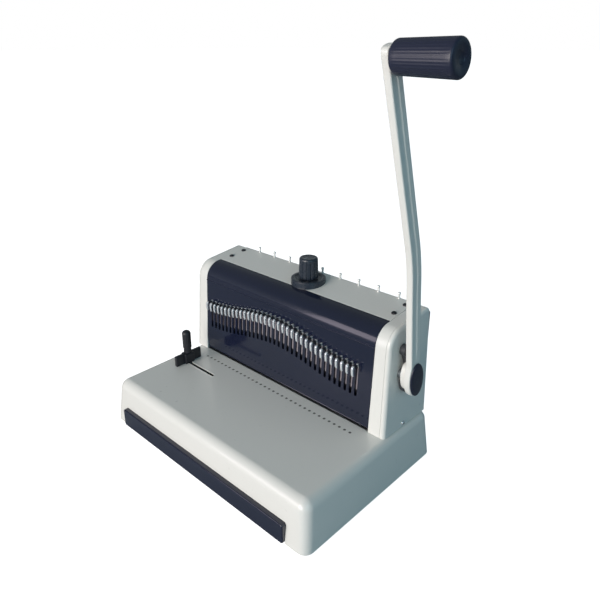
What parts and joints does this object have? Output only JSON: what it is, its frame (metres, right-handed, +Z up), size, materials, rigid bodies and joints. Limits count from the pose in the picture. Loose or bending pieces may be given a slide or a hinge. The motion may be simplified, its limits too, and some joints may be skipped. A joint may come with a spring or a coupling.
{
  "type": "comb binding machine",
  "caption": "Manual comb binding machine: lever punch with arched comb fingers, paper throat, chip drawer, side guide and a rear comb closer",
  "frame": {"origin": "centre of the footprint, at the feet's soles", "axes": "+X to the right towards the handle, +Y to the back, +Z up"},
  "size_m": [0.452, 0.254, 0.5197],
  "materials": {
    "cream_paint": "satin",
    "navy_plastic": "glossy",
    "black_plastic": "matte",
    "ground_steel": "ground",
    "bright_chrome": "polished",
    "rubber": "matte",
    "bush_bronze": "turned"
  },
  "bodies": {
    "base": {"base_cover": "cream_paint", "bottom_plate": "ground_steel", "foot_front_left": "rubber", "foot_front_right": "rubber", "foot_rear_left": "rubber", "foot_rear_right": "rubber", "die_plate": "ground_steel", "pin_guide_plate": "ground_steel", "paper_stop": "ground_steel", "left_bush": "bush_bronze", "right_bush": "bush_bronze", "left_frame": "ground_steel", "right_frame": "ground_steel", "left_side_cover": "cream_paint", "right_side_cover": "cream_paint", "front_hood": "navy_plastic", "front_panel": "navy_plastic", "top_cover": "cream_paint", "rear_wall": "cream_paint", "rear_cover": "navy_plastic", "hub_escutcheon": "black_plastic", "adjuster_bezel": "navy_plastic", "side_screw": "bright_chrome", "top_screw_front_left": "black_plastic", "top_screw_rear_left": "black_plastic", "top_screw_front_right": "black_plastic", "top_screw_rear_right": "black_plastic", "hanger_peg_1": "bright_chrome", "hanger_peg_2": "bright_chrome", "hanger_peg_3": "bright_chrome", "hanger_peg_4": "bright_chrome", "hanger_peg_5": "bright_chrome", "hanger_peg_6": "bright_chrome", "hanger_peg_7": "bright_chrome", "hanger_peg_8": "bright_chrome", "hanger_peg_9": "bright_chrome"},
    "handle": {"drive_shaft": "ground_steel", "left_pinion": "ground_steel", "right_pinion": "ground_steel", "closer_cam_left": "ground_steel", "closer_cam_right": "ground_steel", "handle_arm": "cream_paint", "hub_cap": "navy_plastic", "grip_spindle": "ground_steel"},
    "hand_grip": {"grip": "navy_plastic"},
    "punch": {"punch_beam": "ground_steel", "punch_pins": "ground_steel", "comb_fingers": "bright_chrome", "return_spring_left": "ground_steel", "return_spring_right": "ground_steel"},
    "closer": {"closer_bar": "navy_plastic"},
    "knob": {"adjuster_knob": "navy_plastic", "adjuster_spindle": "ground_steel"},
    "jaw": {"closer_anvil": "navy_plastic", "adjuster_nut": "ground_steel"},
    "side_guide": {"guide_fence": "black_plastic", "guide_post": "black_plastic", "guide_clamp_nut": "ground_steel"},
    "drawer": {"chip_drawer": "navy_plastic"}
  },
  "joints": [
    {"name": "handle_turn", "type": "hinge", "parent": "base", "child": "handle", "pos_m": [0.151, 0.0585, 0.145], "axis": [1, 0, 0], "range_deg": [0, 78], "stiffness_Nm_per_rad": 3, "springref_deg": -28.65},
    {"name": "grip_spin", "type": "hinge", "parent": "handle", "child": "hand_grip", "pos_m": [0.1635, -0.0245, 0.503], "axis": [1, 0, 0], "continuous": true},
    {"name": "punch_drop", "type": "slide", "parent": "base", "child": "punch", "axis": [0, 0, -1], "range_m": [0, 0.01362], "deforming": ["return_spring_left", "return_spring_right"]},
    {"name": "closer_lift", "type": "slide", "parent": "base", "child": "closer", "axis": [0, 0, 1], "range_m": [0, 0.00545]},
    {"name": "jaw_drop", "type": "slide", "parent": "base", "child": "jaw", "axis": [0, 0, -1], "range_m": [0, 0.0046]},
    {"name": "knob_turn", "type": "hinge", "parent": "base", "child": "knob", "pos_m": [-0.035, 0.0835, 0.2147], "axis": [0, 0, 1], "range_deg": [0, 330]},
    {"name": "guide_slide", "type": "slide", "parent": "base", "child": "side_guide", "axis": [1, 0, 0], "range_m": [0, 0.055]},
    {"name": "drawer_slide", "type": "slide", "parent": "base", "child": "drawer", "axis": [0, -1, 0], "range_m": [0, 0.12]}
  ],
  "couplings": [
    {"joint": "punch_drop", "follows": "handle_turn", "m_per_rad": 0.01},
    {"joint": "closer_lift", "follows": "handle_turn", "m_per_rad": 0.004},
    {"joint": "knob_turn", "follows": "jaw_drop", "rad_per_m": 1250}
  ]
}
